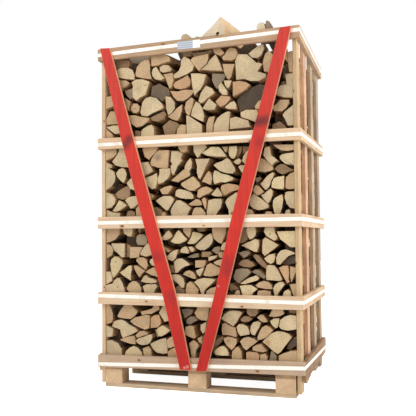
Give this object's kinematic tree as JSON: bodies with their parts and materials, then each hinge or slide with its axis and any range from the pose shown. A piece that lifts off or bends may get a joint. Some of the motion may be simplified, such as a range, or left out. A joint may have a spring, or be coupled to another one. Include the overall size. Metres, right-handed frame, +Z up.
{
  "type": "crate of hornbeam firewood",
  "caption": "Tall slatted softwood crate on a pallet, filled with stacked split hornbeam logs, bound with flat white straps and braced in front by red boards set in a V.",
  "frame": {"origin": "bottom centre of the bounding box, on the floor under the middle of the crate", "axes": "+Z up, the open front with the red braces faces -Y, +X to the right seen from the front"},
  "size_m": [1.1824, 0.8898, 2.0718],
  "materials": {
    "sawn_softwood": "rough sawn, pale tan, slightly weathered",
    "pallet_wood": "rough sawn, a little darker",
    "red_board": "rough sawn board with matt red stain",
    "strapping": "white satin band",
    "label_paper": "blank satin label",
    "split_hornbeam": "rough split and sawn wood with grey-brown bark"
  },
  "bodies": {
    "root": {"block_back_centre": "pallet_wood", "block_back_left": "pallet_wood", "block_back_right": "pallet_wood", "block_front_centre": "pallet_wood", "block_front_left": "pallet_wood", "block_front_right": "pallet_wood", "block_middle_centre": "pallet_wood", "block_middle_left": "pallet_wood", "block_middle_right": "pallet_wood", "bottom_board_back": "pallet_wood", "bottom_board_front": "pallet_wood", "bottom_board_middle": "pallet_wood", "brace_left": "red_board", "brace_right": "red_board", "deck_board_1": "pallet_wood", "deck_board_2": "pallet_wood", "deck_board_3": "pallet_wood", "deck_board_4": "pallet_wood", "label": "label_paper", "logs_back": "split_hornbeam", "logs_front": "split_hornbeam", "logs_middle": "split_hornbeam", "loose_log_stump": "split_hornbeam", "loose_log_wedge": "split_hornbeam", "rail_back_1": "sawn_softwood", "rail_back_2": "sawn_softwood", "rail_back_3": "sawn_softwood", "rail_back_4": "sawn_softwood", "rail_back_5": "sawn_softwood", "rail_front_1": "sawn_softwood", "rail_front_2": "sawn_softwood", "rail_front_3": "sawn_softwood", "rail_front_4": "sawn_softwood", "rail_front_5": "sawn_softwood", "rail_left_1": "sawn_softwood", "rail_left_2": "sawn_softwood", "rail_left_3": "sawn_softwood", "rail_left_4": "sawn_softwood", "rail_left_5": "sawn_softwood", "rail_right_1": "sawn_softwood", "rail_right_2": "sawn_softwood", "rail_right_3": "sawn_softwood", "rail_right_4": "sawn_softwood", "rail_right_5": "sawn_softwood", "slat_left_1": "sawn_softwood", "slat_left_2": "sawn_softwood", "slat_left_3": "sawn_softwood", "slat_left_4": "sawn_softwood", "slat_right_1": "sawn_softwood", "slat_right_2": "sawn_softwood", "slat_right_3": "sawn_softwood", "slat_right_4": "sawn_softwood", "strap_1": "strapping", "strap_2": "strapping", "strap_3": "strapping", "strap_4": "strapping", "strap_5": "strapping", "stringer_centre": "pallet_wood", "stringer_left": "pallet_wood", "stringer_right": "pallet_wood"}
  },
  "joints": []
}
